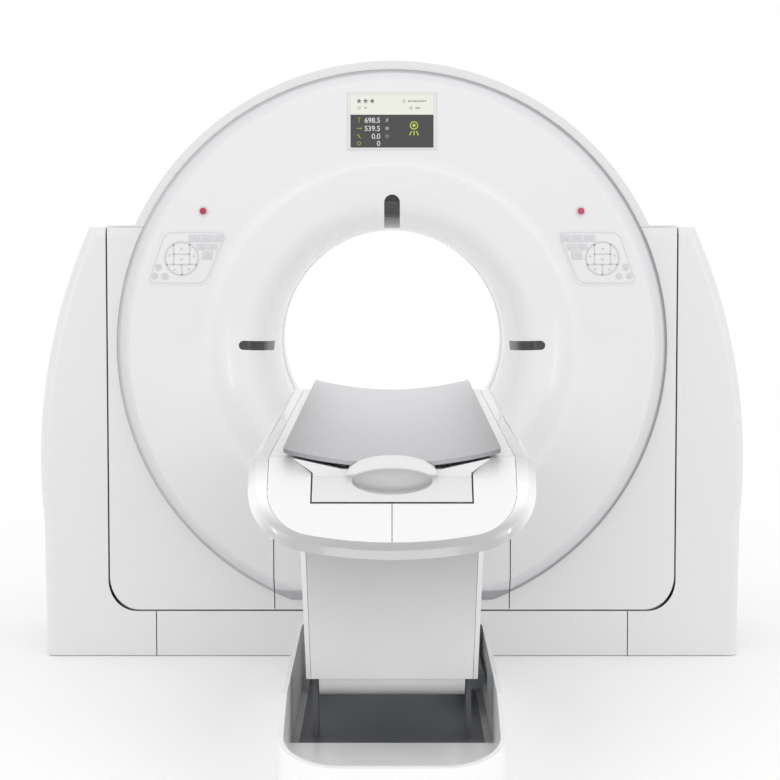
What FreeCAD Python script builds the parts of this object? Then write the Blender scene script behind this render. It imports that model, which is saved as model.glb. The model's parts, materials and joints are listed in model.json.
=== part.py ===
import FreeCAD, Part
import math
import os

V = FreeCAD.Vector

# CT scanner: tilting head between two columns, and a patient table on a leaning parallelogram lift.
# Millimetres. X to the right, +Y away from the patient table, +Z up. The floor is z = 0 and the
# middle plane of the gantry is y = 0.

# --- Driving dimensions of the gantry ---
iso_z = 979.0            # height of the bore's centre line, which the head tilts about
bore_r = 360.0           # patient bore
disc_r = 858.0           # front disc cover, outside
rim_band = 43.0          # width of the bevelled rim
front_y = 400.0          # flat front of fascia and columns, from the middle plane
disc_y = 450.0           # flat front of the disc cover, from the middle plane
flare_r = 590.0          # where the mouth starts to curve in
tunnel_y = 150.0         # half length of the straight tunnel
dome_r = 886.0           # round casing behind the disc
head_half = 888.0        # half width of the tilting head
head_drop = 830.0        # from the bore's centre line down to the fascia's lower edge
corner_r = 94.0          # rounded lower corners of the fascia
shoulder_rise = 371.0    # from the centre line up to the top of fascia and columns
column_foot = 1090.0     # half width over the columns at the floor
column_wide = 1096.0     # half width over the columns at their widest
column_top = 945.0       # half width over the columns at the shoulder
column_straight = 430.0  # height where the outer edge starts to curve in
column_bulge = 1057.0    # half width on the curve at the next height
column_bulge_z = 1024.0
column_edge_r = 30.0     # rounding of the columns' outer edges
base_split = 744.0       # joint between column cover and base cover, from the middle
wall = 5.0               # plastic covers
seam = 3.0               # gap between neighbouring covers
swing_gap = 5.0          # clearance of the head's swing
disc_gap = 1.5           # gap around the disc cover
flat_drop = 798.0        # from the centre line down to the flattened lower edge of the disc cover
flat_rise = 40.0         # rise of the flattened edge over the rim's depth
panel_half = 368.0       # half width of the lower centre panel
panel_drop = 535.0       # from the centre line down to its upper edge
base_lap = 11.0          # low covers reach this far above the fascia's lower edge
floor_gap = 2.0          # covers end this far above the floor
frame_z = 12.0           # underside of both base frames, on their feet

# --- Fittings on the front of the head ---
laser_length = 104.0     # windows of the line lasers
laser_top_gap, laser_side_gap = 8.5, 14.0   # from the bore to the windows
laser_top_half, laser_side_half = 24.5, 14.5
laser_rise = 5.0         # the side windows rise outwards by this many degrees
window_gap = 0.4
display_w, display_h, display_rise = 272.0, 174.0, 697.0
screen_w, screen_h = 256.0, 162.0
stop_x, stop_rise, stop_r, stop_travel = 584.0, 421.0, 10.5, 4.0
stop_clearance = 0.08
collar_r = 15.0
fit_gap = 0.3            # around parts set into the disc cover
keypad_top, keypad_bottom = 361.0, 193.0    # control panels, above the centre line
keypad_in_top, keypad_out_top = 508.0, 706.0
keypad_in_low, keypad_out_low = 573.0, 762.0

# --- Rotor and bearing ---
race_r = 480.0           # between the races
race_wall = 38.0
race_y0, race_y1 = 62.0, 118.0
race_clearance = 0.05
drum_r = 780.0
drum_y0, drum_y1 = 20.0, 56.0
trunnion_r = 45.0
trunnion_clearance = 0.04
track_r = 628.5          # drive track on the back of the drum
wheel_r = 60.0           # drive wheel that runs on it
wheel_gap = 1.5

# --- Driving dimensions of the table ---
cradle_half = 230.0      # half width of the cradle
cradle_far, cradle_near = -670.0, -2787.0
cradle_edge_z = 893.0    # top of the cradle's long edges
cradle_dip = 30.0        # how far its middle lies below them
cradle_wall = 9.0
table_half = 304.0       # half width over the rim
table_far, table_near = -760.0, -2950.0
deck_z = 870.0
slope_start = -2745.0    # where the deck turns down to the nose
nose_z = 710.0           # top surface at the tip of the nose
rim_drop = 29.0          # height of the rim below the deck
rim_inset = 42.0         # width of the rim band at the sides
rim_front = 7.0          # width of the rim band at the nose
nose_corner = 150.0      # plan radius of the nose's corners
nose_radius = 900.0      # plan radius of its bowed front edge
rim_round = 22.0         # rounding of the rim's upper edge
belly_z = 654.0          # lowest face of the table body
belly_half = 234.0       # half width there
belly_rise = -2300.0     # where the underside starts to rise to the nose
arm_length = 520.0
arm_angle = 60.0         # arms above the horizontal with the table raised
pivot_y, pivot_z = -1645.0, 214.0
arm_spacing = 680.0      # rear arm behind the front arm
beam_half = 150.0        # half width of the arms' beams
boss_r = 34.0
lug_in, lug_out = 192.0, 206.0
pin_r = 20.0
pin_clearance = 0.05
open_pivot_clearance = 1.5
leg_face = 85.0          # front face of the leg, off the arm's centre line
leg_back = 45.0          # its rear face, on the other side
leg_low, leg_high = 24.0, 470.0   # the leg panel's ends, along the arm
leg_half_low, leg_half_high = 208.0, 214.0
trim_width = 12.0
leg_room = 232.0         # half width of the opening over the leg
trough_z = 192.0
trough_half = 275.0
trough_wall = 12.0
trough_far, trough_bend, trough_near = -850.0, -1900.0, -2260.0
trough_low = 84.0        # height of the trough's walls at its near end
rail_z0, rail_z1 = 719.0, 766.0
rail_in, rail_out = 180.0, 230.0
well_floor = 770.0
well_gap = 4.0           # between the well and the end cap that runs in it
cap_half = 167.0         # half width of the end cap
cap_inset = 22.0         # its flared top ends this far inside the cradle's edge
cap_z0, cap_bend, cap_top = 788.0, 842.0, 873.0
cap_gap = 3.5            # around the end cap, in the covers

# --- Anchor holes, hole to hole ---
bolt_hole_r = 9.0
anchor_pad_r = 32.0      # packing pad under the gantry's base plate at each anchor
bolt_x, bolt_y = 1960.0, 620.0
table_bolt_x, table_bolt_y, table_bolt_middle = 380.0, 1100.0, -1470.0

# --- Worked out from the above ---
head_bottom = iso_z - head_drop
shoulder_z = iso_z + shoulder_rise
flat_z = iso_z - flat_drop
panel_top = iso_z - panel_drop
display_z = iso_z + display_rise
stop_z = iso_z + stop_rise
cap_top_half = cradle_half - cap_inset


# --- Plain shapes ---
def box(x0, x1, y0, y1, z0, z1):
    """Box between two corners."""
    return Part.makeBox(x1 - x0, y1 - y0, z1 - z0, V(x0, y0, z0))


def cyl_x(r, x0, x1, y, z):
    """Cylinder along X."""
    return Part.makeCylinder(r, x1 - x0, V(x0, y, z), V(1, 0, 0))


def cyl_y(r, y0, y1, x=0.0, z=iso_z):
    """Cylinder along Y, about the bore's centre line unless told otherwise."""
    return Part.makeCylinder(r, y1 - y0, V(x, y0, z), V(0, 1, 0))


def cyl_z(r, z0, z1, x, y):
    """Cylinder along Z."""
    return Part.makeCylinder(r, z1 - z0, V(x, y, z0), V(0, 0, 1))


def ring_y(r_out, r_in, y0, y1):
    """Ring about the bore's centre line."""
    return cyl_y(r_out, y0, y1).cut(cyl_y(r_in, y0 - 1, y1 + 1))


def prism(points, axis, low, high):
    """Polygon given in the plane square to an axis, drawn out along it."""
    place = {"x": lambda a, b: V(low, a, b), "y": lambda a, b: V(a, low, b), "z": lambda a, b: V(a, b, low)}[axis]
    way = {"x": V(high - low, 0, 0), "y": V(0, high - low, 0), "z": V(0, 0, high - low)}[axis]
    corners = [place(a, b) for a, b in points]
    return Part.Face(Part.makePolygon(corners + corners[:1])).extrude(way)


def rounded_wire(corners, radii):
    """Closed wire through 3-D corners, each rounded by its own radius (0 keeps it sharp)."""
    count = len(corners)
    starts, ends, middles = [], [], []
    for i, (corner, r) in enumerate(zip(corners, radii)):
        back = (corners[i - 1] - corner).normalize()
        ahead = (corners[(i + 1) % count] - corner).normalize()
        half = back.getAngle(ahead) / 2
        reach = r / math.tan(half)
        starts.append(corner + back * reach)
        ends.append(corner + ahead * reach)
        middles.append(corner + (back + ahead).normalize() * (r / math.sin(half) - r))
    edges = []
    for i in range(count):
        if radii[i] > 0:
            edges.append(Part.Arc(starts[i], middles[i], ends[i]).toShape())
        nxt = (i + 1) % count
        if (starts[nxt] - ends[i]).Length > 1e-6:
            edges.append(Part.LineSegment(ends[i], starts[nxt]).toShape())
    return Part.Wire(edges)


def rounded_plate(corners, radii, way):
    """Flat outline with rounded corners, given thickness along a vector."""
    return Part.Face(rounded_wire(corners, radii)).extrude(way)


def mirrored(shape):
    """The same piece for the other side of the machine."""
    return shape.mirror(V(0, 0, 0), V(1, 0, 0))


def to_rear(shape):
    """The same piece turned to the rear face."""
    return shape.mirror(V(0, 0, 0), V(0, 1, 0))


def both_sides(shape):
    """A piece and its twin on the other side, as separate solids of one node."""
    return Part.makeCompound([shape, mirrored(shape)])


def save(name, shape):
    """Write one named piece."""
    shape.exportStep("parts/%s.step" % name)


def fillet_where(shape, radius, test):
    """Round the edges whose middle passes a test."""
    edges = [e for e in shape.Edges if test(e)]
    return shape.makeFillet(radius, edges)


# --- Head: shapes shared by its covers ---
def swing_solid(grow):
    """Room the head needs to tilt: a body of revolution about the tilt axis."""
    reach = math.hypot(front_y, iso_z - head_bottom) + grow
    half = head_half + grow
    corners = [V(-half, 0, iso_z), V(-half, 0, iso_z + reach), V(half, 0, iso_z + reach), V(half, 0, iso_z)]
    r = corner_r - grow
    face = Part.Face(rounded_wire(corners, [0, r, r, 0]))
    return face.revolve(V(0, 0, iso_z), V(1, 0, 0), 360)


def disc_shell():
    """Front disc cover with its flare, before the display, windows and lower panel are cut."""
    r = disc_r
    front, back = -disc_y, -front_y + 10
    outline = [V(r - wall, back, iso_z), V(r, back, iso_z), V(r, -front_y - 6, iso_z),
               V(r - rim_band, front, iso_z), V(flare_r, front, iso_z)]
    inside = [V(bore_r + wall, -tunnel_y, iso_z)]
    outer_flare = Part.BezierCurve()
    outer_flare.setPoles([V(flare_r, front, iso_z), V(flare_r - 150, front, iso_z),
                          V(bore_r, -tunnel_y - 150, iso_z), V(bore_r, -tunnel_y, iso_z)])
    inner_flare = Part.BezierCurve()
    inner_flare.setPoles([V(bore_r + wall, -tunnel_y, iso_z), V(bore_r + wall, -tunnel_y - 147, iso_z),
                          V(flare_r - 147, front + wall, iso_z), V(flare_r, front + wall, iso_z)])
    edges = [Part.LineSegment(a, b).toShape() for a, b in zip(outline, outline[1:])]
    edges.append(outer_flare.toShape())
    edges.append(Part.LineSegment(V(bore_r, -tunnel_y, iso_z), inside[0]).toShape())
    edges.append(inner_flare.toShape())
    inner = [V(flare_r, front + wall, iso_z), V(r - rim_band - 2, front + wall, iso_z),
             V(r - wall, -front_y - 4, iso_z), outline[0]]
    edges += [Part.LineSegment(a, b).toShape() for a, b in zip(inner, inner[1:])]
    ring = Part.Face(Part.Wire(edges)).revolve(V(0, 0, iso_z), V(0, 1, 0), 360)

    def below_flat(drop):
        """Everything under the flattened lower edge, which leans in over the rim's depth."""
        low, high = flat_z + drop, flat_z + flat_rise + drop
        return prism([(back + 1, low), (-front_y - 6, low), (front - 1, high), (front - 1, -50),
                      (back + 1, -50)], "x", -disc_r, disc_r)

    cut_band = below_flat(0)
    lip = below_flat(wall).common(filled_disc(back)).cut(cut_band)
    return ring.cut(cut_band).fuse(lip.cut(cyl_y(flare_r, -disc_y - 1, 0))).removeSplitter()


def filled_disc(back):
    """The disc cover's outside as a full solid, for its flattened lower lip."""
    points = [V(0, back, iso_z), V(disc_r, back, iso_z), V(disc_r, -front_y - 6, iso_z),
              V(disc_r - rim_band, -disc_y, iso_z), V(0, -disc_y, iso_z)]
    return Part.Face(Part.makePolygon(points + points[:1])).revolve(V(0, 0, iso_z), V(0, 1, 0), 360)


def disc_hole():
    """Opening in a fascia that the disc cover stands in, with its flat lower edge."""
    hole = cyl_y(disc_r + disc_gap, -front_y - 1, -front_y + wall + 1)
    return hole.cut(box(-disc_r, disc_r, -front_y - 2, 0, 0, flat_z - disc_gap))


def radial_slot(half_width, r_low, r_high, angle, y0, y1):
    """Slot with one rounded outer end, pointing out from the bore's centre line, upwards or to a
    side. The side ones rise a little outwards."""
    slot = box(-half_width, half_width, y0, y1, iso_z + r_low, iso_z + r_high - half_width)
    slot = slot.fuse(Part.makeCylinder(half_width, y1 - y0, V(0, y0, iso_z + r_high - half_width), V(0, 1, 0)))
    rise = -math.copysign(laser_rise, angle) if angle else 0
    slot.rotate(V(0, 0, iso_z + (r_low + r_high) / 2), V(0, 1, 0), rise)
    slot.rotate(V(0, 0, iso_z), V(0, 1, 0), angle)
    return slot


def panel_outline(grow, y0, y1):
    """Slanted control panel on the viewer's right, with rounded corners."""
    top, bottom = iso_z + keypad_top, iso_z + keypad_bottom
    points = [(keypad_in_top, top), (keypad_out_top, top), (keypad_out_low, bottom), (keypad_in_low, bottom)]
    mid_x = sum(p[0] for p in points) / 4
    mid_z = sum(p[1] for p in points) / 4
    corners = [V(x + math.copysign(grow, x - mid_x), y0, z + math.copysign(grow, z - mid_z)) for x, z in points]
    return rounded_plate(corners, [16, 18, 22, 26], V(0, y1 - y0, 0))


def build_disc_cover():
    """Front disc cover with its openings, the lower centre panel split off, and what sits in it."""
    shell = disc_shell()
    cover = shell
    glass = {}
    for name, half, gap, angle in (("top", laser_top_half, laser_top_gap, 0),
                                   ("right", laser_side_half, laser_side_gap, 90),
                                   ("left", laser_side_half, laser_side_gap, -90)):
        low, high = bore_r + gap, bore_r + gap + laser_length
        slot = radial_slot(half, low, high, angle, -disc_y - 5, -tunnel_y)
        inner = radial_slot(half - window_gap, low + window_gap, high - window_gap, angle, -disc_y - 5, -tunnel_y)
        glass[name] = shell.common(inner)
        cover = cover.cut(slot)
    half_w, half_h = display_w / 2 + fit_gap, display_h / 2 + fit_gap
    cover = cover.cut(box(-half_w, half_w, -disc_y - 5, -disc_y + 20, display_z - half_h, display_z + half_h))
    for side in (-1, 1):
        cover = cover.cut(cyl_y(collar_r + fit_gap, -disc_y - 5, -disc_y + 20, side * stop_x, stop_z))
    lower = box(-panel_half, panel_half, -disc_y - 5, -front_y + 30, 0, panel_top)
    gap = box(-panel_half - seam, panel_half + seam, -disc_y - 5, -front_y + 30, 0, panel_top + seam)
    save("disc_cover", cover.cut(gap))
    save("laser_window_top", glass["top"])
    save("laser_windows_side", Part.makeCompound([glass["left"], glass["right"]]))
    return shell.common(lower)


def build_fascia(disc_part):
    """U-shaped front fascia in two halves, and the centre panel that carries part of the rim."""
    plate = box(-head_half, head_half, -front_y, -front_y + wall, 60, shoulder_z)
    plate = plate.common(swing_solid(0))
    edge = prism([(-front_y - 1, shoulder_z - 26), (-front_y - 1, shoulder_z + 1), (-front_y + 5, shoulder_z + 1)],
                 "x", -head_half, head_half)
    plate = plate.cut(edge)
    plate = plate.cut(disc_hole())
    low_box = box(-panel_half, panel_half, -front_y - 2, -front_y + wall + 1, 0, panel_top)
    gap_box = box(-panel_half - seam, panel_half + seam, -front_y - 2, -front_y + wall + 1, 0, panel_top + seam)
    sides = plate.cut(gap_box)
    save("fascia_left", sides.common(box(-head_half - 1, 0, -front_y - 1, 0, 0, shoulder_z + 1)))
    save("fascia_right", sides.common(box(0, head_half + 1, -front_y - 1, 0, 0, shoulder_z + 1)))
    skirt = plate.common(low_box)
    brace = box(-panel_half + 20, panel_half - 20, -front_y + wall, -front_y + 9, flat_z - 10, flat_z + 4)
    save("lower_centre_panel", disc_part.fuse(skirt).fuse(brace).removeSplitter())


def build_rear_covers():
    """Rear fascia and rear disc cover with its own flare."""
    plate = box(-head_half, head_half, -front_y, -front_y + wall, 60, shoulder_z).common(swing_solid(0))
    save("rear_fascia", to_rear(plate.cut(disc_hole())))
    save("rear_disc_cover", to_rear(disc_shell()))


def build_casing():
    """Wrap of the head: sides with belly as one tub, and the dome with its shoulders."""
    depth = front_y - wall - 1
    slab = box(-head_half - 1, head_half + 1, -depth, depth, 0, shoulder_z)
    tub = swing_solid(0).cut(swing_solid(-wall)).common(slab)
    tub = tub.cut(cyl_x(trunnion_r + 12, -head_half - 9, head_half + 9, 0, iso_z))
    save("casing_tub", tub)
    above = box(-dome_r - 9, dome_r + 9, -depth, depth, shoulder_z + 1, iso_z + dome_r + 9)
    dome = ring_y(dome_r, dome_r - wall, -depth, depth)
    lips = ring_y(dome_r - wall + 1, disc_r + disc_gap, -depth, -depth + wall)
    lips = lips.fuse(to_rear(lips))
    dome = dome.fuse(lips).common(above)
    reach = math.sqrt(dome_r ** 2 - (shoulder_z + 1 - iso_z) ** 2)
    shoulder = box(reach - 12, head_half, -depth, depth, shoulder_z + 1, shoulder_z + 1 + wall)
    shoulder = shoulder.cut(cyl_y(dome_r - wall, -depth - 1, depth + 1))
    save("casing_dome", dome.fuse(shoulder).fuse(mirrored(shoulder)).removeSplitter())


def build_tunnel():
    """Straight part of the bore: two tubes with the clear scan window between them."""
    window_half = 22.0
    save("bore_tunnel_front", ring_y(bore_r + wall, bore_r, -tunnel_y, -window_half))
    save("bore_tunnel_rear", ring_y(bore_r + wall, bore_r, window_half, tunnel_y))
    save("scan_window", ring_y(bore_r + 3, bore_r, -window_half, window_half))


def build_head_fittings():
    """Display, control panels, stop buttons with collars, laser modules."""
    half_w, half_h = display_w / 2, display_h / 2
    bezel = box(-half_w, half_w, -disc_y - 3, -disc_y + 16, display_z - half_h, display_z + half_h)
    bezel = fillet_where(bezel, 4, lambda e: abs(e.BoundBox.YLength) > 10)
    pocket = box(-screen_w / 2, screen_w / 2, -disc_y - 4, -disc_y + 3, display_z - screen_h / 2,
                 display_z + screen_h / 2)
    save("display_bezel", bezel.cut(pocket))
    half_w, half_h = screen_w / 2 - fit_gap, screen_h / 2 - fit_gap
    save("display_screen", box(-half_w, half_w, -disc_y - 2.5, -disc_y + 3, display_z - half_h, display_z + half_h))
    panel = panel_outline(0, -disc_y - 2, -disc_y)
    save("control_panel_right", panel)
    save("control_panel_left", mirrored(panel))
    collar = cyl_y(collar_r, -disc_y - 3, -disc_y + 24, stop_x, stop_z)
    collar = collar.cut(cyl_y(stop_r + stop_clearance, -disc_y - 4, -disc_y + 20, stop_x, stop_z))
    save("stop_collars", both_sides(collar))
    button = cyl_y(stop_r, -disc_y - 8, -disc_y + 20 - stop_travel - 2, stop_x, stop_z)
    button = fillet_where(button, 2.5, lambda e: e.BoundBox.YMax < -disc_y - 7)
    save("stop_button_right", button)
    save("stop_button_left", mirrored(button))
    low = iso_z + bore_r + 35
    module = box(-30, 30, -235, -165, low, low + 55)
    module = module.fuse(cyl_y(12, -245, -235, 0, low + 27))
    modules = []
    for angle in (0, 90, -90):
        copy = module.copy()
        copy.rotate(V(0, 0, iso_z), V(0, 1, 0), angle)
        modules.append(copy)
    save("laser_modules", Part.makeCompound(modules))


def build_head_frame():
    """Tilt frame with trunnions, slewing bearing's outer race, rotor motor and its drive wheel."""
    plate_y0, plate_y1 = race_y1, race_y1 + 34
    plate = cyl_y(840, plate_y0, plate_y1).cut(cyl_y(race_r - 20, plate_y0 - 1, plate_y1 + 1))
    side = box(800, 876, -90, plate_y1, iso_z - 150, iso_z + 150).cut(
        box(790, 846, -100, plate_y0, iso_z - 160, iso_z + 160))
    shaft = cyl_x(trunnion_r, 850, 1020, 0, iso_z)
    for half in (side, shaft):
        plate = plate.fuse(half).fuse(mirrored(half))
    holes = []
    for i in range(12):
        turn = math.radians(30 * i)
        holes.append(cyl_y(14, plate_y0 - 1, plate_y1 + 1, 650 * math.sin(turn), iso_z + 650 * math.cos(turn)))
    reach = (track_r + wheel_r + wheel_gap) * math.sqrt(0.5)
    motor_x, motor_z = reach, iso_z + reach
    plate = plate.cut(Part.makeCompound(holes))
    plate = plate.cut(cyl_y(22, plate_y0 - 1, plate_y1 + 1, motor_x, motor_z))
    save("tilt_frame", plate.removeSplitter())
    save("bearing_outer_race", ring_y(race_r + race_wall, race_r + race_clearance, race_y0, race_y1))
    motor = cyl_y(58, plate_y1, plate_y1 + 190, motor_x, motor_z)
    motor = motor.fuse(box(motor_x - 30, motor_x + 30, plate_y1 + 60, plate_y1 + 130, motor_z + 40, motor_z + 85))
    save("rotor_motor", motor)
    wheel = cyl_y(wheel_r, race_y0 + 6, race_y1 - 12, motor_x, motor_z)
    wheel = wheel.fuse(cyl_y(20, race_y1 - 12, plate_y1 - 2, motor_x, motor_z))
    save("drive_wheel", wheel)


# --- Rotor ---
def at_angle(shape, degrees):
    """Turn a rotor piece about the bore's centre line."""
    turned = shape.copy()
    turned.rotate(V(0, 0, iso_z), V(0, 1, 0), degrees)
    return turned


def build_rotor():
    """Drum on the inner race, with the imaging chain bolted to its front face."""
    inner_r = race_r - race_wall
    drum = ring_y(drum_r, inner_r - 4, drum_y0, drum_y1)
    rim = ring_y(drum_r, drum_r - 14, drum_y0 - 90, drum_y0)
    track = ring_y(track_r, track_r - 22, drum_y1, race_y1 - 6)
    save("rotor_drum", drum.fuse(rim).fuse(track).removeSplitter())
    race = ring_y(race_r, inner_r, race_y0, race_y1).fuse(ring_y(race_r - 6, inner_r, drum_y1, race_y0))
    save("bearing_inner_race", race.removeSplitter())
    slip = ring_y(race_r - 24, inner_r - 14, race_y1, race_y1 + 110)
    for groove_y in range(4):
        low = race_y1 + 22 + 22 * groove_y
        slip = slip.cut(ring_y(race_r - 20, race_r - 30, low, low + 8))
    save("slip_ring", slip)
    front = drum_y0
    tube = cyl_y(95, front - 250, front, 0, iso_z + 610)
    tube = tube.fuse(cyl_y(60, front - 275, front - 250, 0, iso_z + 610))
    save("xray_tube", tube)
    save("collimator", box(-90, 90, front - 200, front, iso_z + 470, iso_z + 510).cut(
        box(-60, 60, front - 120, front - 80, iso_z + 460, iso_z + 520)))
    save("hv_generator", at_angle(box(-170, 170, front - 210, front, iso_z + 520, iso_z + 690), -50))
    arc = ring_y(640, 560, front - 170, front)
    wedge = prism([(0, iso_z + 40), (-900, iso_z - 760), (900, iso_z - 760)], "y", front - 180, front + 10)
    save("detector_arc", arc.common(wedge))


# --- Standing parts ---
def column_outline(inset, y0, y1):
    """Right column as a solid: straight foot, curved outer edge, flat top. The inset one is its
    hollow, which is open at the floor and towards the base cover."""
    low, high = (floor_gap if inset == 0 else 0), shoulder_z - inset
    foot, wide, top = column_foot - inset, column_wide - inset, column_top - inset
    inner_x = base_split - inset
    start = V(inner_x, y0, low)
    curve = Part.Arc(V(wide, y0, column_straight), V(column_bulge - inset, y0, column_bulge_z), V(top, y0, high)).toShape()
    edges = [Part.LineSegment(start, V(foot, y0, low)).toShape(),
             Part.LineSegment(V(foot, y0, low), V(wide, y0, column_straight)).toShape(), curve,
             Part.LineSegment(V(top, y0, high), V(inner_x, y0, high)).toShape(),
             Part.LineSegment(V(inner_x, y0, high), start).toShape()]
    return Part.Face(Part.Wire(edges)).extrude(V(0, y1 - y0, 0))


def build_columns():
    """Column covers: a front and a rear shell on each side, hollow, with a hole for the trunnion."""
    def front_edge(e):
        """Whether an edge is part of the rounded border of the column's front."""
        outside = e.BoundBox.XMin > column_top - 9 or e.BoundBox.ZMin > shoulder_z - 1
        return e.BoundBox.YMax < -front_y + 1 and outside and e.BoundBox.ZMax > floor_gap + 9

    outer = fillet_where(column_outline(0, -front_y, -1), column_edge_r, front_edge)
    behind_edge = -front_y + column_edge_r
    hollow = column_outline(wall, behind_edge, 0)
    hollow = hollow.fuse(column_outline(column_edge_r - wall, -front_y + wall, behind_edge + 1))
    shell = outer.cut(hollow.cut(swing_solid(swing_gap + wall)))
    shell = shell.cut(swing_solid(swing_gap))
    shell = shell.cut(cyl_x(trunnion_r + 12, head_half, head_half + 40, 0, iso_z))
    for name, piece in (("column_front", shell), ("column_rear", to_rear(shell))):
        save(name + "_right", piece)
        save(name + "_left", mirrored(piece))


def build_base():
    """Base frame with uprights, bearings, feet, gearmotor and the low covers between the columns."""
    plate = box(-1040, 1040, -350, 350, frame_z, frame_z + 18)
    for x in (-bolt_x / 2, bolt_x / 2):
        for y in (-bolt_y / 2, bolt_y / 2):
            plate = plate.fuse(cyl_z(anchor_pad_r, 0, frame_z, x, y)).cut(cyl_z(bolt_hole_r, -1, 60, x, y))
    upright = box(912, 1032, -130, 130, frame_z + 18, iso_z + 105)
    upright = upright.cut(box(922, 1022, -120, 120, frame_z + 18, iso_z - 120))
    upright = upright.cut(box(935, 985, -200, 200, iso_z - 100, iso_z + 110))
    upright = upright.cut(cyl_x(trunnion_r + 20, 900, 1040, 0, iso_z))
    save("gantry_base_frame", plate.fuse(upright).fuse(mirrored(upright)).removeSplitter())
    bearing = box(936, 984, -95, 95, iso_z - 100, iso_z + 95)
    bearing = bearing.cut(cyl_x(trunnion_r + trunnion_clearance, 930, 990, 0, iso_z))
    save("trunnion_bearings", both_sides(bearing))
    gantry_feet = [(x, y) for x in (-900, -300, 300, 900) for y in (-250, 250)]
    table_feet = [(x, y) for x in (-200, 200) for y in (-2000, -1470, -930)]
    feet = [cyl_z(30, 0, frame_z, x, y) for x, y in gantry_feet + table_feet]
    save("levelling_feet", Part.makeCompound(feet))
    motor = box(925, 1020, 131, 300, 400, 520).fuse(cyl_z(50, 520, 700, 972, 215))
    save("tilt_gearmotor", motor)
    half = base_split - seam
    top = head_bottom + base_lap
    cover = box(-half, half, -front_y, -200, floor_gap, top).cut(swing_solid(swing_gap))
    hollow = box(-half - 1, half + 1, -front_y + wall, -190, 0, top).cut(swing_solid(swing_gap + wall))
    cover = cover.cut(hollow)
    save("base_front_cover", cover)
    save("base_rear_cover", to_rear(cover))


# --- Table ---
def arm_point(pivot, along, off):
    """Point beside an arm: so far along it from its lower pivot, and so far off its centre line
    towards the rear and top."""
    c, s = math.cos(math.radians(arm_angle)), math.sin(math.radians(arm_angle))
    return (pivot - along * c + off * s, pivot_z + along * s + off * c)


def arm_prism(pivot, a0, a1, off0, off1, x0, x1):
    """Bar along an arm."""
    corners = [arm_point(pivot, a, o) for a, o in ((a0, off0), (a1, off0), (a1, off1), (a0, off1))]
    return prism(corners, "x", x0, x1)


rear_pivot_y = pivot_y + arm_spacing
top_y, top_z = arm_point(pivot_y, arm_length, 0)
rear_top_y = top_y + arm_spacing


def table_plan(half, corner, near, z0, z1, far=table_far, bow=nose_radius):
    """Plan outline of the table: straight sides, round corners and a bowed front, drawn upwards."""
    mid_y = near + bow - math.sqrt((bow - corner) ** 2 - (half - corner) ** 2)
    turn = math.atan2(half - corner, near + bow - mid_y)
    tip = V((half - corner) + corner * math.sin(turn), mid_y - corner * math.cos(turn), z0)
    lean = (math.pi / 2 + turn) / 2
    mid = V((half - corner) + corner * math.sin(lean), mid_y - corner * math.cos(lean), z0)
    side = V(half, mid_y, z0)
    flip = lambda p: V(-p.x, p.y, p.z)
    back = V(half, far, z0)
    edges = [Part.LineSegment(back, side).toShape(), Part.Arc(side, mid, tip).toShape(),
             Part.Arc(tip, V(0, near, z0), flip(tip)).toShape(), Part.Arc(flip(tip), flip(mid), flip(side)).toShape(),
             Part.LineSegment(flip(side), flip(back)).toShape(), Part.LineSegment(flip(back), back).toShape()]
    wire = Part.Wire(edges)
    if z1 is None:
        return wire
    return Part.Face(wire).extrude(V(0, 0, z1 - z0))


def well_shape(grow, y0, y1):
    """Channel in the deck that the cradle's end cap and carriage run in."""
    points = channel_side(well_gap + grow, well_floor - grow)
    return prism(points + [(-x, z) for x, z in reversed(points)], "y", y0, y1)


def channel_side(grow, low):
    """Right half of the end cap's front shape, enlarged, with its own lower edge."""
    return [(cap_half + grow, low), (cap_half + grow, cap_bend - 0.4 * grow),
            (cap_top_half + 1.6 * grow, cap_top)]


def cap_face(grow, y0, y1):
    """Front shape of the cradle's end cap, or of the mouth in the deck that it fills."""
    points = channel_side(grow, cap_z0 - grow)
    return prism(points + [(-x, z) for x, z in reversed(points)], "y", y0, y1)


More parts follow.
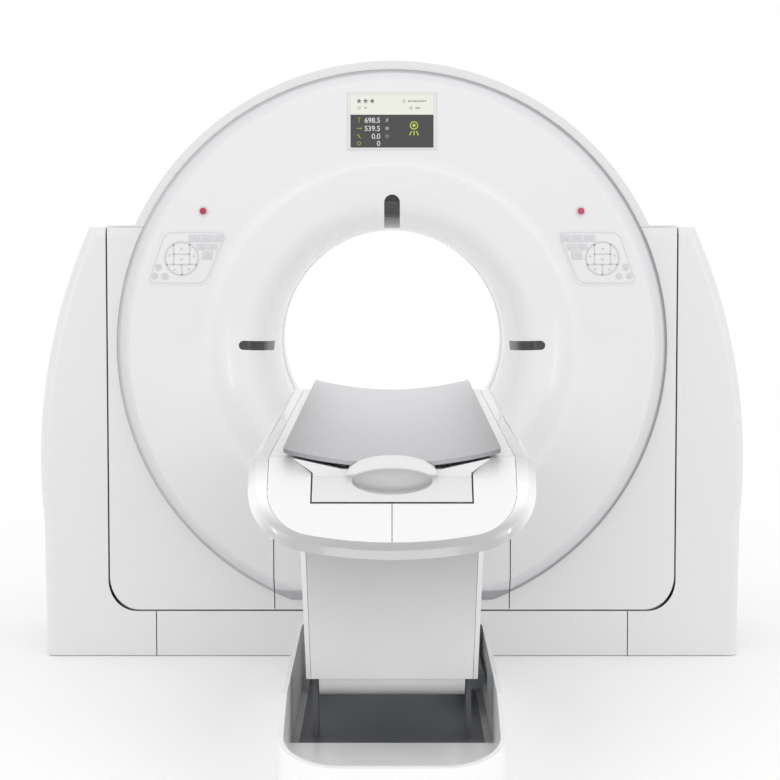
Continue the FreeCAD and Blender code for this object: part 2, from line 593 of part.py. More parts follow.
def build_table_covers():
    """Rim band and the two halves of the deck and end cover, the well, and the underside."""
    slope = (nose_z - deck_z) / (table_near - slope_start)

    def slab(drop, thick):
        """Side profile of the top: deck, then down to the nose."""
        tip = nose_z - drop
        over = table_near - 10
        return prism([(table_far + 9, deck_z - drop), (slope_start, deck_z - drop), (over, tip - 10 * slope),
                      (over, tip - 10 * slope - thick), (slope_start, deck_z - drop - thick),
                      (table_far + 9, deck_z - drop - thick)], "x", -table_half - 9, table_half + 9)

    def top_solid(inset, thick, far):
        """Top of the table as a solid with its upper border rounded."""
        plan = table_plan(table_half - inset, nose_corner - inset, table_near + inset, 500, 900, far)
        return fillet_where(plan.common(slab(inset, thick)), rim_round - inset, is_upper_border)

    shell = top_solid(0, rim_drop, table_far).cut(top_solid(wall, rim_drop + 20, table_far - wall))
    shell = shell.cut(cap_face(cap_gap, slope_start - 240, table_far + 9))
    inner = (table_half - rim_inset, nose_corner - rim_inset, table_near + rim_front)
    inside = table_plan(*inner, 500, 900, table_far + 9)
    save("table_rim", shell.cut(inside))
    trimmed = table_plan(inner[0] - 1, inner[1] - 1, inner[2] + 1, 500, 900, table_far + 9)
    covers = shell.common(trimmed)
    save("table_cover_right", covers.common(box(0.8, table_half, table_near, table_far + 9, 500, 900)))
    save("table_cover_left", covers.common(box(-table_half, -0.8, table_near, table_far + 9, 500, 900)))
    well = well_shape(wall - 1, -2700, table_far - 12).cut(well_shape(0, -2701, table_far + 1))
    save("table_well", well.common(box(-table_half, table_half, -3000, 0, 0, deck_z - wall - 1)))

    def belly(inset):
        """Tapered underside, rising a little towards the nose."""
        near = table_near + 12 + inset
        low = table_plan(belly_half - inset, 76, near, belly_z - 20, None, table_far - inset)
        high = table_plan(table_half - 5 - inset, nose_corner - 5, near, deck_z, None, table_far - inset)
        loft = Part.makeLoft([low, high], True)
        base = belly_z + inset
        lid = rim_drop + 2
        under = prism([(table_far + 9, base), (belly_rise, base), (-2890, base + 62), (slope_start, deck_z - lid),
                       (table_far + 9, deck_z - lid)], "x", -table_half, table_half)
        return loft.common(under)

    opening = box(-leg_room, leg_room, -2240, -880, belly_z - 9, belly_z + 12)
    inner_belly = belly(wall).fuse(box(-table_half + 30, table_half - 30, -2700, table_far - 30, well_floor + 4, deck_z - 9))
    save("table_underside", belly(0).cut(inner_belly).cut(opening))


def top_height(y):
    """Height of the deck or nose surface at a place along the table."""
    if y > slope_start:
        return deck_z
    return deck_z + (nose_z - deck_z) * (slope_start - y) / (slope_start - table_near)


def is_upper_border(edge):
    """Whether an edge runs along the upper outer border of the table's top."""
    middle = edge.CenterOfMass
    outside = abs(middle.x) > table_half - wall - 2 or middle.y < slope_start - 60
    level = abs(top_height(middle.y) - middle.z) < 16
    return outside and level and edge.BoundBox.DiagonalLength > 40 and middle.y < table_far - 20


def build_table_frame():
    """Welded frame under the deck with its lugs, and the guide rails."""
    rail = box(rail_in, rail_out, -2700, table_far - 30, rail_z0, rail_z1)
    frame = rail.fuse(mirrored(rail))
    for y in (-2690, -2300, -1560, -1000, table_far - 70):
        frame = frame.fuse(box(-rail_in, rail_in, y, y + 36, rail_z0 + 8, rail_z1))
    for y, bore in ((top_y, pin_clearance), (rear_top_y, open_pivot_clearance)):
        lug = box(lug_in, lug_out, y - boss_r, y + boss_r, top_z, rail_z0)
        lug = lug.fuse(cyl_x(boss_r, lug_in, lug_out, y, top_z))
        lug = lug.cut(cyl_x(pin_r + bore, lug_in - 2, lug_out + 2, y, top_z))
        frame = frame.fuse(lug).fuse(mirrored(lug))
    save("table_frame", frame.removeSplitter())
    low = well_floor
    save("guide_rails", both_sides(box(108, 128, -2698, table_far - 12, low, low + 12)))


def cradle_arc(z_edge, z_mid, half, z_top, y0, y1):
    """Solid above a hollow arc across the table."""
    arc = Part.Arc(V(-half, y0, z_edge), V(0, y0, z_mid), V(half, y0, z_edge)).toShape()
    edges = [arc, Part.LineSegment(V(half, y0, z_edge), V(half, y0, z_top)).toShape(),
             Part.LineSegment(V(half, y0, z_top), V(-half, y0, z_top)).toShape(),
             Part.LineSegment(V(-half, y0, z_top), V(-half, y0, z_edge)).toShape()]
    return Part.Face(Part.Wire(edges)).extrude(V(0, y1 - y0, 0))


def build_cradle():
    """Cradle shell, its end cap with the finger recess and the grip over it, and the carriage."""
    under_edge, under_mid = cradle_edge_z - cradle_wall, cradle_edge_z - cradle_dip - cradle_wall
    above = cradle_edge_z + 30
    shell = cradle_arc(under_edge, under_mid, cradle_half, above, cradle_near, cradle_far)
    upper = cradle_arc(cradle_edge_z, cradle_edge_z - cradle_dip, cradle_half, above, cradle_near - 1, cradle_far + 1)
    shell = shell.cut(upper)
    shell = fillet_where(shell, 22, lambda e: e.BoundBox.XLength < 1 and e.BoundBox.YLength < 1)
    save("cradle_shell", shell)
    side = prism([(-2850, cap_z0), (-2790, cap_z0 + 47), (-2790, cap_top + 4), (-2730, cap_top + 4),
                  (-2730, cap_z0)], "x", -cradle_half, cradle_half)
    dip = prism([(-cap_top_half, cap_top), (cap_top_half, cap_top), (cap_top_half, cap_top + 9),
                 (-cap_top_half, cap_top + 9)], "y", -2860, -2700)
    dip = dip.fuse(prism([(-cap_top_half, cap_top), (-105, under_mid - 4), (105, under_mid - 4),
                          (cap_top_half, cap_top)], "y", -2860, -2700))
    cap = side.common(cap_face(0, -2860, -2700)).cut(dip)
    neck = box(-90, 90, -2780, -2732, under_mid - 6, under_edge + 2)
    neck = neck.cut(cradle_arc(under_edge, under_mid, cradle_half, above, cradle_near, cradle_far))
    grip_z, grip_w, grip_h = cap_z0 + 38, 85.0, 25.0

    def oval(half_w, half_h, y0, y1, middle=grip_z):
        """Upright oval, drawn out along Y."""
        ellipse = Part.Ellipse(V(0, y0, middle), half_w, half_h)
        shape = Part.Face(Part.Wire(ellipse.toShape())).extrude(V(0, 0, y1 - y0))
        shape.rotate(V(0, y0, middle), V(1, 0, 0), -90)
        return shape

    cap = cap.fuse(neck).cut(oval(grip_w, grip_h, -2860, -2762))
    brow = grip_z + 12
    grip = oval(grip_w + 12, 42, -2806, -2789, brow).common(box(-200, 200, -2900, -2700, brow, 900))
    grip = grip.cut(oval(grip_w, grip_h, -2860, -2762))
    grip = fillet_where(grip, 5, lambda e: e.BoundBox.YMax < -2805)
    save("cradle_end_cap", cap.fuse(grip).removeSplitter())
    plate = box(-140, 140, -2728, -2480, well_floor + 14, well_floor + 26)
    riser = box(-90, 90, -2728, -2480, well_floor + 26, under_edge)
    riser = riser.cut(cradle_arc(under_edge, under_mid, cradle_half, above, cradle_near, cradle_far))
    riser = riser.cut(box(-70, 70, -2740, -2470, well_floor + 40, under_mid - 8))
    runner = box(96, 140, -2720, -2640, well_floor + 2, well_floor + 14).cut(
        box(107.5, 128.5, -2800, -2400, 700, well_floor + 12.5))
    runners = runner.fuse(runner.translated(V(0, 150, 0)))
    carriage = plate.fuse(riser).fuse(runners).fuse(mirrored(runners))
    save("cradle_carriage", carriage.removeSplitter())


def build_lift():
    """Front and rear lift arms, the leg's covers, the table's base frame, cover and gearmotor."""
    for name, pivot, shaft_end in (("front_arm", pivot_y, lug_out), ("rear_arm", rear_pivot_y, 246.0)):
        upper_y, upper_z = arm_point(pivot, arm_length, 0)
        beam = arm_prism(pivot, 0, arm_length, -30, 30, -beam_half, beam_half)
        beam = beam.cut(arm_prism(pivot, 50, arm_length - 50, -22, 22, -beam_half + 10, beam_half - 10))
        arm = beam.fuse(cyl_x(boss_r, -lug_in + 2, lug_in - 2, pivot, pivot_z))
        arm = arm.fuse(cyl_x(boss_r, -lug_in + 2, lug_in - 2, upper_y, upper_z))
        arm = arm.fuse(cyl_x(pin_r, -lug_out, shaft_end, pivot, pivot_z))
        arm = arm.fuse(cyl_x(pin_r, -lug_out, lug_out, upper_y, upper_z))
        save(name, arm.removeSplitter())
    toe_r = leg_face - wall - 2
    toe = cyl_x(toe_r, -lug_in + 3, lug_in - 3, pivot_y, pivot_z).cut(
        cyl_x(toe_r - wall, -lug_in, lug_in, pivot_y, pivot_z))
    toe = toe.cut(arm_prism(pivot_y, 0, 200, -31, 31, -200, 200))
    toe = toe.cut(arm_prism(pivot_y, 20, 200, -200, 200, -200, 200))
    save("leg_toe", toe)

    def leg_slab(grow, off0, off1, low, high):
        """Tapered slab square to the arm."""
        half0, half1 = leg_half_low + grow, leg_half_high + grow
        corners = []
        for x, along in ((-half0, low), (half0, low), (half1, high), (-half1, high)):
            y, z = arm_point(pivot_y, along, off0)
            corners.append(V(x, y, z))
        end_y, end_z = arm_point(pivot_y, low, off1)
        start_y, start_z = arm_point(pivot_y, low, off0)
        face = Part.Face(Part.makePolygon(corners + corners[:1]))
        return face.extrude(V(0, end_y - start_y, end_z - start_z))

    save("leg_front_panel", leg_slab(0, -leg_face, -leg_face + wall, leg_low, leg_high))
    outer = leg_slab(1 + trim_width, -leg_face, leg_back, leg_low, leg_high)
    inner = leg_slab(1, -leg_face - 9, leg_back + 9, leg_low - 9, leg_high + 9)
    back_low, back_high = 120, 400
    back = leg_slab(1, leg_back - wall, leg_back, back_low, back_high)
    save("leg_rear_cover", outer.cut(inner).fuse(back).removeSplitter())

    plate = box(-240, 240, -2050, trough_far - 50, frame_z, frame_z + 14)
    for x in (-table_bolt_x / 2, table_bolt_x / 2):
        for side in (-1, 1):
            plate = plate.cut(cyl_z(bolt_hole_r, 0, 50, x, table_bolt_middle + side * table_bolt_y / 2))
    for pivot in (pivot_y, rear_pivot_y):
        low = frame_z + 14
        lug = prism([(pivot - boss_r, low), (pivot + 70, low), (pivot + boss_r, pivot_z), (pivot - boss_r, pivot_z)],
                    "x", lug_in, lug_out)
        lug = lug.fuse(cyl_x(boss_r, lug_in, lug_out, pivot, pivot_z))
        lug = lug.cut(cyl_x(pin_r + pin_clearance, lug_in - 2, lug_out + 2, pivot, pivot_z))
        plate = plate.fuse(lug).fuse(mirrored(lug))
    save("table_base_frame", plate.removeSplitter())
    gearbox = box(lug_out + 2, 250, rear_pivot_y - 70, rear_pivot_y + 60, 74, pivot_z + 38)
    gearbox = gearbox.cut(cyl_x(pin_r + pin_clearance, lug_out, 255, rear_pivot_y, pivot_z))
    motor = cyl_y(30, rear_pivot_y - 330, rear_pivot_y - 70, 228, 106)
    save("lift_gearmotor", gearbox.fuse(motor))

    def trough_plan(inset):
        """Plan of the base cover: long oval with rounded ends."""
        half = trough_half - inset
        corners = [V(-half, trough_near + inset, floor_gap), V(half, trough_near + inset, floor_gap),
                   V(half, trough_far - inset, floor_gap), V(-half, trough_far - inset, floor_gap)]
        return rounded_plate(corners, [150 - inset, 150 - inset, 90 - inset, 90 - inset], V(0, 0, 200))

    top = prism([(trough_far + 1, 0), (trough_far + 1, trough_z), (trough_bend, trough_z),
                 (trough_near - 1, trough_low), (trough_near - 1, 0)], "x", -trough_half - 1, trough_half + 1)
    shell = trough_plan(0).cut(trough_plan(trough_wall))
    pan = trough_plan(wall).common(box(-trough_half, trough_half, trough_near, pivot_y - leg_face - 40, 30, 34))
    save("table_base_cover", shell.fuse(pan).common(top).removeSplitter())


def main():
    """Build and write every piece."""
    os.makedirs("parts", exist_ok=True)
    disc_part = build_disc_cover()
    build_fascia(disc_part)
    build_rear_covers()
    build_casing()
    build_tunnel()
    build_head_fittings()
    build_head_frame()
    build_rotor()
    build_columns()
    build_base()
    build_table_covers()
    build_table_frame()
    build_cradle()
    build_lift()


main()
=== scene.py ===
import json
import math

import bpy
from mathutils import Matrix, Vector


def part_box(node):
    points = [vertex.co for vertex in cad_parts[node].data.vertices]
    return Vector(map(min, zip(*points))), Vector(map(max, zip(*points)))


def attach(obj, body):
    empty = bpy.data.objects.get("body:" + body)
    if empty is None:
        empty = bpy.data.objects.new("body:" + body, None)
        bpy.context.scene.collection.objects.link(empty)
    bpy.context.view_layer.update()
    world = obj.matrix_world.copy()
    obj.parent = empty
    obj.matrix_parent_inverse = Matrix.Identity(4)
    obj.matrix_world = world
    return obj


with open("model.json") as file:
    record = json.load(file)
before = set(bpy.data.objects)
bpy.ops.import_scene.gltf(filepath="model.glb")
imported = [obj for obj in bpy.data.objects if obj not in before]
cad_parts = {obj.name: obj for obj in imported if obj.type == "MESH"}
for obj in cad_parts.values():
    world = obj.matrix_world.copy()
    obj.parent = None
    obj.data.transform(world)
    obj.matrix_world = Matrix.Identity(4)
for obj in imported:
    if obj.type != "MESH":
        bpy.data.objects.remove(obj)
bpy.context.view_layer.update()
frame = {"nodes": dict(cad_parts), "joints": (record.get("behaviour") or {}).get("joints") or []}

bpy.ops.object.select_all(action="DESELECT")

# Camera: an eye-level view from the foot of the patient table, far enough back to flatten the
# perspective, looking a little down.
eye = Vector((0.0, -7.65, 1.373))
look_down = math.radians(4.19)
camera_data = bpy.data.cameras.new("view_from_table_foot")
camera_data.sensor_width = 36
camera_data.lens = 107.2
camera_data.shift_x = -0.0026
camera_data.clip_end = 100
camera = bpy.data.objects.new("view_from_table_foot", camera_data)
camera.location = eye
camera.rotation_euler = (math.pi / 2 - look_down, 0, 0)
bpy.context.scene.collection.objects.link(camera)
bpy.context.scene.camera = camera

# Studio: a plain white floor that pales into the white air further out, a wide soft box over the
# machine, two in front, a low one that fills the leg and the bore's mouth, and a strip on each
# side that draws a bright line along the table's rim.
class Wire:
    """A socket in a finish that is being wired up. Sums written on it add the nodes for them."""

    def __init__(self, tree, socket):
        self.tree = tree
        self.socket = socket

    def node(self, kind, settings, inputs, output=0):
        """Add any node: its settings first, then its sockets' values or links. Gives one output."""
        made = self.tree.nodes.new("ShaderNode" + kind)
        for key, value in settings.items():
            if key == "stops":
                made.color_ramp.elements.remove(made.color_ramp.elements[1])
                made.color_ramp.elements[0].position = value[0][0]
                for position, _ in value[1:]:
                    made.color_ramp.elements.new(position)
                for element, (_, level) in zip(made.color_ramp.elements, value):
                    element.color = (level, level, level, 1)
            else:
                setattr(made, key, value)
        for key, value in inputs.items():
            put(self.tree, made.inputs[key], value)
        return Wire(self.tree, made.outputs[output])

    def math(self, operation, *values):
        return self.node("Math", {"operation": operation}, dict(enumerate(values)))

    def __add__(self, other):
        return self.math("ADD", self, other)

    __radd__ = __add__

    def __sub__(self, other):
        return self.math("SUBTRACT", self, other)

    def __rsub__(self, other):
        return self.math("SUBTRACT", other, self)

    def __mul__(self, other):
        return self.math("MULTIPLY", self, other)

    __rmul__ = __mul__

    def __truediv__(self, other):
        return self.math("DIVIDE", self, other)

    def __pow__(self, power):
        return self.math("POWER", self, power)

    def __gt__(self, other):
        return self.math("GREATER_THAN", self, other)

    def __lt__(self, other):
        return self.math("LESS_THAN", self, other)

    def __abs__(self):
        return self.math("ABSOLUTE", self)


def put(tree, socket, value):
    """Give a socket its value, or link a wire to it."""
    if isinstance(value, Wire):
        tree.links.new(value.socket, socket)
    elif socket.type == "RGBA":
        socket.default_value = (*value[:3], 1)
    else:
        socket.default_value = value


def start_finish(name, settings):
    """A new material: gives it, its shader and the point being shaded, in the object's metres."""
    material = bpy.data.materials.new(name)
    material.use_nodes = True
    tree = material.node_tree
    shader = tree.nodes["Principled BSDF"]
    for key, value in settings.items():
        put(tree, shader.inputs[key], value)
    point = Wire(tree, shader.outputs["BSDF"]).node("TexCoord", {}, {}, output="Object")
    return material, shader, point


bpy.ops.mesh.primitive_plane_add(size=60, location=(0, 0, 0))
floor = bpy.context.active_object
floor.name = "studio_floor"
floor_paint, floor_shader, floor_point = start_finish("pale_floor", {"Roughness": 0.7})
put(floor_paint.node_tree, floor_shader.inputs["Base Color"], (0.97, 0.97, 0.97))
floor_lit = Wire(floor_paint.node_tree, floor_shader.outputs["BSDF"])
floor_far = floor_point.node("VectorMath", {"operation": "LENGTH"}, {0: floor_point}, output="Value")
floor_fade = floor_far.node("MapRange", {"interpolation_type": "SMOOTHSTEP"},
                            {"Value": floor_far, "From Min": 1.9, "From Max": 4.6})
floor_glow = floor_far.node("Emission", {}, {"Color": (1, 1, 1)})
floor_mix = floor_far.node("MixShader", {}, {0: floor_fade, 1: floor_lit, 2: floor_glow})
put(floor_paint.node_tree, floor_paint.node_tree.nodes["Material Output"].inputs["Surface"], floor_mix)
floor.data.materials.append(floor_paint)
world = bpy.data.worlds.new("studio_air")
world.use_nodes = True
world.node_tree.nodes["Background"].inputs["Color"].default_value = (1, 1, 1, 1)
world.node_tree.nodes["Background"].inputs["Strength"].default_value = 1.0
bpy.context.scene.world = world
bpy.context.scene.view_settings.view_transform = "Standard"
soft_boxes = (("over_head", (0, -1.6, 4.6), (0, -0.9, 0.9), (3.6, 3.0), 12),
              ("front_left", (-3.6, -5.4, 2.2), (0, -0.6, 0.9), (1.6, 2.2), 8),
              ("front_right", (3.6, -5.4, 2.2), (0, -0.6, 0.9), (1.6, 2.2), 8),
              ("front_low", (0, -6.2, 0.35), (0, -1.4, 0.35), (2.6, 0.6), 9),
              ("rim_strip_left", (-2.6, -3.9, 1.1), (-0.2, -2.7, 0.78), (0.25, 1.2), 5),
              ("rim_strip_right", (2.6, -3.9, 1.1), (0.2, -2.7, 0.78), (0.25, 1.2), 5))
for name, place, aim, size, power in soft_boxes:
    light = bpy.data.lights.new(name, "AREA")
    light.shape = "RECTANGLE"
    light.size, light.size_y = size
    light.energy = power
    lamp = bpy.data.objects.new(name, light)
    lamp.location = place
    lamp.rotation_euler = (Vector(aim) - Vector(place)).to_track_quat("-Z", "Y").to_euler()
    bpy.context.scene.collection.objects.link(lamp)


# Large covers: moulded white plastic with a clear, slightly rippled gloss. Each is one moulding,
# hung on the frames behind and split from its neighbours by a thin dark gap.
def noise(point, scale, detail=2.0, roughness=0.5):
    """Soft random pattern from 0 to 1 with features about 1 / scale metres wide."""
    look = {"Vector": point, "Scale": scale, "Detail": detail, "Roughness": roughness}
    return point.node("TexNoise", {}, look)


def blend(mask, first, second):
    """Colour that goes from the first to the second as the mask goes from 0 to 1."""
    return mask.node("Mix", {"data_type": "RGBA"}, {0: mask, 6: first, 7: second}, output=2)


def shade(colour, factor):
    """The same colour, darker or lighter."""
    return tuple(c * factor for c in colour)


def relief(height, depth, strength=1.0):
    """Surface relief from a height pattern, depth in metres."""
    return height.node("Bump", {}, {"Height": height, "Distance": depth, "Strength": strength})


def finish(material, shader, **parts):
    """Join the wired parts to the shader."""
    for key, value in parts.items():
        put(material.node_tree, shader.inputs[key.replace("_", " ").title()], value)
    return material


def clear_coat(weight, rough, ior=1.5):
    """Settings for a clear gloss over a finish."""
    return {"IOR": ior, "Coat Weight": weight, "Coat Roughness": rough}


def moulded_plastic(name, colour, gloss, coat=0.25, tint=0.985):
    """White moulding: faint clouding of the colour, a slow ripple and a fine grain in the gloss."""
    material, shader, point = start_finish(name, clear_coat(coat, 0.12))
    cloud = noise(point, 1.3, 3)
    grain = noise(point, 420, 2)
    ripple = noise(point, 9, 1)
    base = blend(cloud, shade(colour, tint), colour)
    rough = gloss + 0.10 * (cloud - 0.5) + 0.05 * (grain - 0.5)
    return finish(material, shader, base_color=base, roughness=rough,
                  normal=relief(grain * 0.12 + ripple, 0.00025))


cover_white = moulded_plastic("cover_white", (0.76, 0.76, 0.763), 0.33)


def dress(node, material):
    """Give a construction part its finish."""
    slots = frame["nodes"][node].data.materials
    slots.clear()
    slots.append(material)


for node in ("column_front_left", "column_front_right", "column_rear_left", "column_rear_right",
             "base_front_cover", "base_rear_cover", "casing_tub", "casing_dome", "fascia_left",
             "fascia_right", "rear_fascia"):
    dress(node, cover_white)

# Disc covers: gloss white mouldings, front and rear, whose bevelled rim is lacquered a pale lilac
# grey. The lower centre panel carries the rim's lowest piece.
iso = Vector([j for j in frame["joints"] if j["name"] == "gantry_tilt"][0]["pos_m"])
disc_low, disc_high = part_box("disc_cover")
disc_radius = disc_high.x
rim_band, rim_start = 0.043, 0.4015
line_in, line_out = 0.013, 0.006


def axes(point):
    """The three coordinates of the point being shaded."""
    return [point.node("SeparateXYZ", {}, {"Vector": point}, output=axis) for axis in "XYZ"]


def bore_polar(point):
    """Distance from the bore's centre line, height over it, place across it and along it."""
    across, along, up = axes(point)
    height = up - iso.z
    return (across * across + height * height) ** 0.5, height, across, along


def fade(value, start, end):
    """Goes from 0 to 1 as a value goes from start to end."""
    return value.node("MapRange", {}, {"Value": value, "From Min": start, "From Max": end})


def disc_lacquer():
    """White with a painted floor reflection darkening it low down and painted light in the bore's mouth,
    the rim's lilac-grey band, and a painted shadow along its outer edge.
    """
    material, shader, point = start_finish("disc_lacquer", {"IOR": 1.5, "Coat Roughness": 0.07})
    distance, height, across, along = bore_polar(point)
    reach = height.math("MAXIMUM", distance - disc_radius, disc_low.z - iso.z - height)
    band = (reach > -rim_band) * (abs(along) > rim_start)
    cloud, ripple, grain = noise(point, 1.3, 3), noise(point, 7, 1), noise(point, 420, 2)
    white = blend(cloud, (0.765, 0.765, 0.768), (0.785, 0.785, 0.788))
    # Painted reflection of the floor: the lower half of the white darkened a little.
    white = blend(fade(height, -0.15, -0.6) * 0.07, white, (0.2, 0.2, 0.2))
    # Painted light: the white paler towards the bore's mouth, where the flare should catch more light.
    white = blend(fade(distance, 0.60, 0.46), white, (0.90, 0.90, 0.903))
    lilac = blend(fade(reach, -rim_band, 0.0), (0.725, 0.725, 0.74), (0.61, 0.61, 0.625))
    # Painted shadow: a dark line along the rim's outer edge for the shadow in the gap round the disc,
    # stronger towards the right.
    painted_gap_shadow = fade(reach, -line_in, -line_out) * (0.35 + 0.5 * fade(across, -disc_radius, disc_radius))
    lilac = blend(painted_gap_shadow, lilac, (0.20, 0.20, 0.22))
    rough = 0.26 - 0.08 * band + 0.08 * (cloud - 0.5) + 0.04 * (grain - 0.5)
    return finish(material, shader, base_color=blend(band, white, lilac), roughness=rough,
                  coat_weight=0.3 + 0.5 * band, normal=relief(ripple + grain * 0.1, 0.0003))


disc_white = disc_lacquer()
for node in ("disc_cover", "rear_disc_cover", "lower_centre_panel"):
    dress(node, disc_white)

# Bore tunnel: two gloss white tubes, with a strip of clear film between them that the beam passes
# through, held by a dark gasket on each side.
tunnel_white = moulded_plastic("tunnel_white", (0.82, 0.82, 0.83), 0.22, coat=0.4)
dress("bore_tunnel_front", tunnel_white)
dress("bore_tunnel_rear", tunnel_white)


def window_film():
    """Milky polycarbonate: a faint haze that runs round the strip, and fine scratches."""
    material, shader, point = start_finish("window_film", {"IOR": 1.58})
    distance, height, across, along = bore_polar(point)
    streak = noise(point.node("Mapping", {}, {"Vector": point, "Scale": (1, 60, 1)}), 12, 3)
    haze = blend(streak, (0.62, 0.66, 0.69), (0.72, 0.75, 0.77))
    return finish(material, shader, base_color=haze, roughness=0.12 + 0.1 * streak,
                  normal=relief(streak, 0.00008))


dress("scan_window", window_film())


def rubber(name, level):
    """Black moulded rubber with a fine matt grain and paler bloom in patches."""
    material, shader, point = start_finish(name, {"IOR": 1.5})
    bloom, grain = noise(point, 6, 4), noise(point, 900, 2)
    return finish(material, shader, base_color=blend(bloom, (level,) * 3, (level * 1.9,) * 3),
                  roughness=0.62 + 0.2 * (grain - 0.5), normal=relief(grain, 0.0002))


gasket_rubber = rubber("gasket_rubber", 0.02)


def settle(piece, name, body, material):
    """Put a finished piece's place into its mesh, name it, finish it and hang it on its body."""
    bpy.ops.object.select_all(action="DESELECT")
    piece.select_set(True)
    bpy.context.view_layer.objects.active = piece
    bpy.ops.object.transform_apply(location=True, rotation=True, scale=True)
    piece.name = name
    piece.data.name = name
    piece.data.materials.clear()
    piece.data.materials.append(material)
    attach(piece, body)
    return piece


def join(pieces):
    """Make one piece of several."""
    bpy.ops.object.select_all(action="DESELECT")
    for piece in pieces:
        piece.select_set(True)
    bpy.context.view_layer.objects.active = pieces[0]
    if len(pieces) > 1:
        bpy.ops.object.join()
    return pieces[0]


def apply_bevel(piece, width, segments=2, angle=40):
    """Round a piece's edges and smooth what is left."""
    bpy.context.view_layer.objects.active = piece
    bevel = piece.modifiers.new("edges", "BEVEL")
    bevel.width = width
    bevel.segments = segments
    bevel.limit_method = "ANGLE"
    bpy.ops.object.modifier_apply(modifier="edges")
    bpy.ops.object.select_all(action="DESELECT")
    piece.select_set(True)
    bpy.ops.object.shade_smooth_by_angle(angle=math.radians(angle))


gasket_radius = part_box("bore_tunnel_front")[1].x - 0.0042
gasket_wide, gasket_thick = 0.0024, 0.0022
window_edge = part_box("scan_window")[1].y
gaskets = []
for side in (-1, 1):
    bpy.ops.mesh.primitive_cylinder_add(vertices=160, radius=gasket_radius, depth=gasket_wide,
                                        end_fill_type="NOTHING", location=(0, side * window_edge, iso.z),
                                        rotation=(math.pi / 2, 0, 0))
    gasket = bpy.context.active_object
    wall = gasket.modifiers.new("wall", "SOLIDIFY")
    wall.thickness = gasket_thick
    wall.offset = 0
    bpy.ops.object.modifier_apply(modifier="wall")
    apply_bevel(gasket, 0.0006)
    gaskets.append(gasket)
settle(join(gaskets), "window_gaskets", "head", gasket_rubber)

# Patient table: gloss white mouldings over a welded frame. The rim band round the top is a pale
# grey, lacquered moulding that runs round the nose.
table_white = moulded_plastic("table_white", (0.80, 0.80, 0.803), 0.28, coat=0.35)
for node in ("table_cover_left", "table_cover_right", "table_underside", "leg_toe"):
    dress(node, table_white)
# Painted light: a paler copy of the table's white for the well and the trough round the leg, lifting their
# shaded inner faces.
white_painted_lighter = moulded_plastic("white_painted_lighter", (0.91, 0.91, 0.913), 0.35)
dress("table_well", white_painted_lighter)
dress("table_base_cover", white_painted_lighter)
dress("cradle_end_cap", moulded_plastic("grip_white", (0.70, 0.70, 0.705), 0.3, coat=0.3))


def rim_lacquer():
    """Pearl-grey lacquer, with painted shade on the nose and a painted highlight where the band bends down
    to it.
    """
    material, shader, point = start_finish("rim_lacquer", clear_coat(0.6, 0.05))
    across, along, up = axes(point)
    cloud, pearl = noise(point, 3, 3), noise(point, 900, 1)
    # Painted highlight and shade along the rim: dark on the nose, brightest where the band bends down to
    # it, mid grey behind.
    stops = ((0.0, 0.40), (0.10, 0.51), (0.20, 0.86), (0.28, 0.86), (0.40, 0.60), (1.0, 0.68))
    painted_light_ramp = along.node("ValToRGB", {"stops": stops}, {0: (along + 2.95) / 0.5})
    base = blend(painted_light_ramp * 0.97 + cloud * 0.03, (0, 0, 0), (0.985, 0.985, 1.0))
    return finish(material, shader, base_color=base, roughness=0.22 + 0.08 * (cloud - 0.5),
                  metallic=0.12 + 0.1 * pearl, normal=relief(noise(point, 6, 1), 0.0003))


dress("table_rim", rim_lacquer())


def leg_paint():
    """Satin grey paint on sheet metal: fine orange peel, with painted shade darkening it towards the top
    under the table.
    """
    material, shader, point = start_finish("leg_paint", clear_coat(0.15, 0.3))
    across, along, up = axes(point)
    peel, cloud = noise(point, 500, 2), noise(point, 2.2, 3)
    # Painted shade: dark at the top, in the table's shadow, paling towards the foot.
    base = blend(fade(up, 0.64, 0.14) * 0.9 + cloud * 0.1, (0.34, 0.34, 0.34), (0.97, 0.97, 0.97))
    return finish(material, shader, base_color=base, roughness=0.42 + 0.08 * (cloud - 0.5),
                  normal=relief(peel, 0.0002))


dress("leg_front_panel", leg_paint())
dress("leg_rear_cover", moulded_plastic("leg_trim_white", (0.8, 0.8, 0.8), 0.3))


def cradle_laminate():
    """Grey composite skin: faint fibre lines along the cradle, darker towards its near end, with painted
    shade along its curved-up sides near that end.
    """
    material, shader, point = start_finish("cradle_laminate", clear_coat(0.2, 0.2))
    fibre = noise(point.node("Mapping", {}, {"Vector": point, "Scale": (220, 5, 220)}), 1, 3)
    cloud = noise(point, 2.5, 3)
    across, along, up = axes(point)
    near_low, far_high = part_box("cradle_shell")
    # Painted shade along the cradle's curved-up sides, strongest at its near end.
    edge = (abs(across) / far_high.x) ** 3
    way = fade(along, near_low.y, far_high.y)
    skin = blend(way * 0.8 + fibre * 0.12 + cloud * 0.08, (0.355, 0.35, 0.38), (0.63, 0.627, 0.65))
    base = blend(edge * (1 - way) ** 0.5, skin, (0.17, 0.168, 0.18))
    return finish(material, shader, base_color=base, roughness=0.34 + 0.12 * (fibre - 0.5),
                  normal=relief(fibre, 0.00015))


dress("cradle_shell", cradle_laminate())


# Frames and arms: welded steel, powder coated dark grey, with the pebbled skin of powder coat and
# paler scuffs where tools have touched it.
def powder_coat(name, colour):
    material, shader, point = start_finish(name, {"IOR": 1.5})
    pebble, scuff = noise(point, 700, 2), noise(point, 14, 5, 0.7)
    worn = (scuff > 0.68) * 0.35
    return finish(material, shader, base_color=blend(worn, colour, shade(colour, 1.5)),
                  roughness=0.5 + 0.15 * (pebble - 0.5) - 0.1 * worn, normal=relief(pebble, 0.0004))


